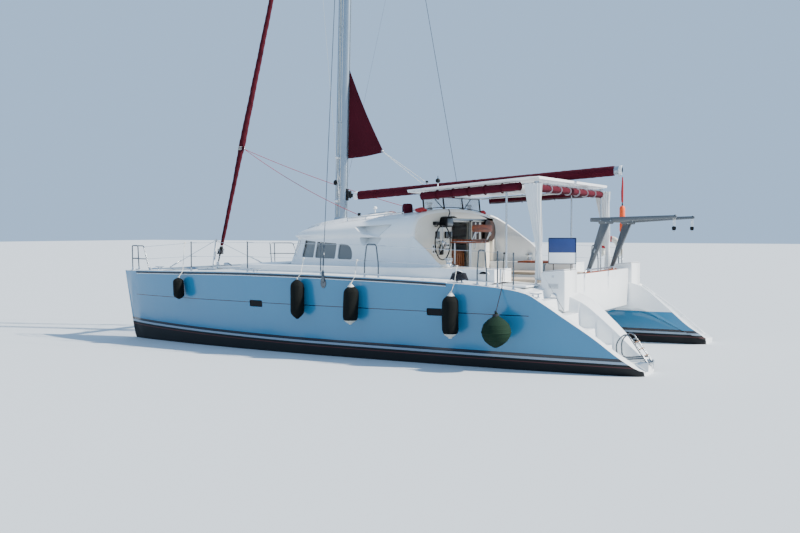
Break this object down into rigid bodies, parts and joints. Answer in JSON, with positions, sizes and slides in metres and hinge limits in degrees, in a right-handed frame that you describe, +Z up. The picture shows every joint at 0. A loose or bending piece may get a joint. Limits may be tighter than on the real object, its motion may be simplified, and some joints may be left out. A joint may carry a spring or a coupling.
{
  "type": "cruising sailing catamaran",
  "caption": "Cruising sailing catamaran afloat, with blue topsides, white deck and coachroof, hard top, furled burgundy sails and fenders out.",
  "frame": {"origin": "on the centreline amidships, at the waterline", "axes": "+X to the bows, +Y to port, +Z up"},
  "size_m": [11.645, 7.0268, 18.35],
  "materials": {
    "hull": "pale blue gelcoat topsides with a dark boot stripe, black antifouling below",
    "gelcoat": "white gelcoat",
    "antifouling": "black antifouling paint",
    "bronze": "dull bronze",
    "engine_paint": "grey enamel",
    "tinted_glass": "smoke tinted acrylic",
    "stainless": "polished stainless tube",
    "spar_alloy": "pale anodised alloy",
    "teak": "varnished slats",
    "canvas": "burgundy acrylic canvas",
    "curtain_cloth": "white cloth gathered and tied",
    "net": "white open net",
    "fender_cover": "dark knitted fender sock"
  },
  "bodies": {
    "root": {"port_hull": "hull", "starboard_hull": "hull", "bridgedeck": "gelcoat", "raised_deck": "gelcoat", "coachroof": "gelcoat", "saloon_bulkhead": "gelcoat", "centre_walkway": "gelcoat", "hard_top": "gelcoat", "port_keel": "antifouling", "starboard_keel": "antifouling", "port_saildrive": "antifouling", "starboard_saildrive": "antifouling", "port_engine": "engine_paint", "starboard_engine": "engine_paint", "saloon_windows": "tinted_glass", "hard_top_frame": "stainless", "furling_drum": "stainless", "port_shroud": "stainless", "starboard_shroud": "stainless", "port_davit": "stainless", "starboard_davit": "stainless", "port_rails": "stainless", "starboard_rails": "stainless", "mast": "spar_alloy", "forward_crossbeam": "spar_alloy", "helm_seat": "teak", "cockpit_table": "teak", "furled_genoa": "canvas", "aft_canvas_roll": "canvas", "port_canvas_roll": "canvas", "starboard_canvas_roll": "canvas", "port_curtain": "curtain_cloth", "starboard_curtain": "curtain_cloth", "port_trampoline": "net", "starboard_trampoline": "net", "fender_1": "fender_cover", "fender_2": "fender_cover", "fender_3": "fender_cover", "fender_4": "fender_cover", "fender_5": "fender_cover"},
    "boom_swinging": {"boom": "spar_alloy", "boom_cover": "canvas", "mainsail_clew": "canvas"},
    "helm": {"helm_wheel": "stainless"},
    "sliding_door": {"saloon_door": "tinted_glass"},
    "folding_ladder": {"swim_ladder": "stainless"},
    "port_rudder_body": {"port_rudder": "antifouling"},
    "port_propeller_body": {"port_propeller": "bronze"},
    "port_engine_hatch_body": {"port_engine_hatch": "gelcoat"},
    "port_bow_hatch_body": {"port_bow_hatch": "gelcoat"},
    "starboard_rudder_body": {"starboard_rudder": "antifouling"},
    "starboard_propeller_body": {"starboard_propeller": "bronze"},
    "starboard_engine_hatch_body": {"starboard_engine_hatch": "gelcoat"},
    "starboard_bow_hatch_body": {"starboard_bow_hatch": "gelcoat"}
  },
  "joints": [
    {"name": "boom_swing", "type": "hinge", "parent": "root", "child": "boom_swinging", "pos_m": [1.52, 0, 3.15], "axis": [-0.0249, 0, 0.9997], "range_deg": [-60, 60]},
    {"name": "wheel_turn", "type": "hinge", "parent": "root", "child": "helm", "pos_m": [-1.29, 1.03, 2.11], "axis": [1, 0, 0], "range_deg": [-540, 540]},
    {"name": "door_slide", "type": "slide", "parent": "root", "child": "sliding_door", "axis": [0, 1, 0], "range_m": [0, 1.005]},
    {"name": "ladder_fold", "type": "hinge", "parent": "root", "child": "folding_ladder", "pos_m": [-5.8, 2.55, 0.205], "axis": [0, -1, 0], "range_deg": [0, 205]},
    {"name": "port_rudder_turn", "type": "hinge", "parent": "root", "child": "port_rudder_body", "pos_m": [-5, 2.47, -0.5], "axis": [0, 0, 1], "range_deg": [-35, 35]},
    {"name": "port_propeller_spin", "type": "hinge", "parent": "root", "child": "port_propeller_body", "pos_m": [-3.68, 2.47, -0.82], "axis": [1, 0, 0], "continuous": true},
    {"name": "port_engine_hatch_lift", "type": "hinge", "parent": "root", "child": "port_engine_hatch_body", "pos_m": [-3.11, 2.47, 1.411], "axis": [0, 1, 0], "range_deg": [0, 85]},
    {"name": "port_bow_hatch_lift", "type": "hinge", "parent": "root", "child": "port_bow_hatch_body", "pos_m": [4.55, 2.47, 1.498], "axis": [0, 1, 0], "range_deg": [0, 85]},
    {"name": "starboard_rudder_turn", "type": "hinge", "parent": "root", "child": "starboard_rudder_body", "pos_m": [-5, -2.47, -0.5], "axis": [0, 0, 1], "range_deg": [-35, 35]},
    {"name": "starboard_propeller_spin", "type": "hinge", "parent": "root", "child": "starboard_propeller_body", "pos_m": [-3.68, -2.47, -0.82], "axis": [1, 0, 0], "continuous": true},
    {"name": "starboard_engine_hatch_lift", "type": "hinge", "parent": "root", "child": "starboard_engine_hatch_body", "pos_m": [-3.11, -2.47, 1.411], "axis": [0, 1, 0], "range_deg": [0, 85]},
    {"name": "starboard_bow_hatch_lift", "type": "hinge", "parent": "root", "child": "starboard_bow_hatch_body", "pos_m": [4.55, -2.47, 1.498], "axis": [0, 1, 0], "range_deg": [0, 85]}
  ],
  "couplings": [
    {"joint": "port_rudder_turn", "follows": "wheel_turn", "ratio": 0.0645},
    {"joint": "starboard_rudder_turn", "follows": "wheel_turn", "ratio": 0.0645}
  ]
}
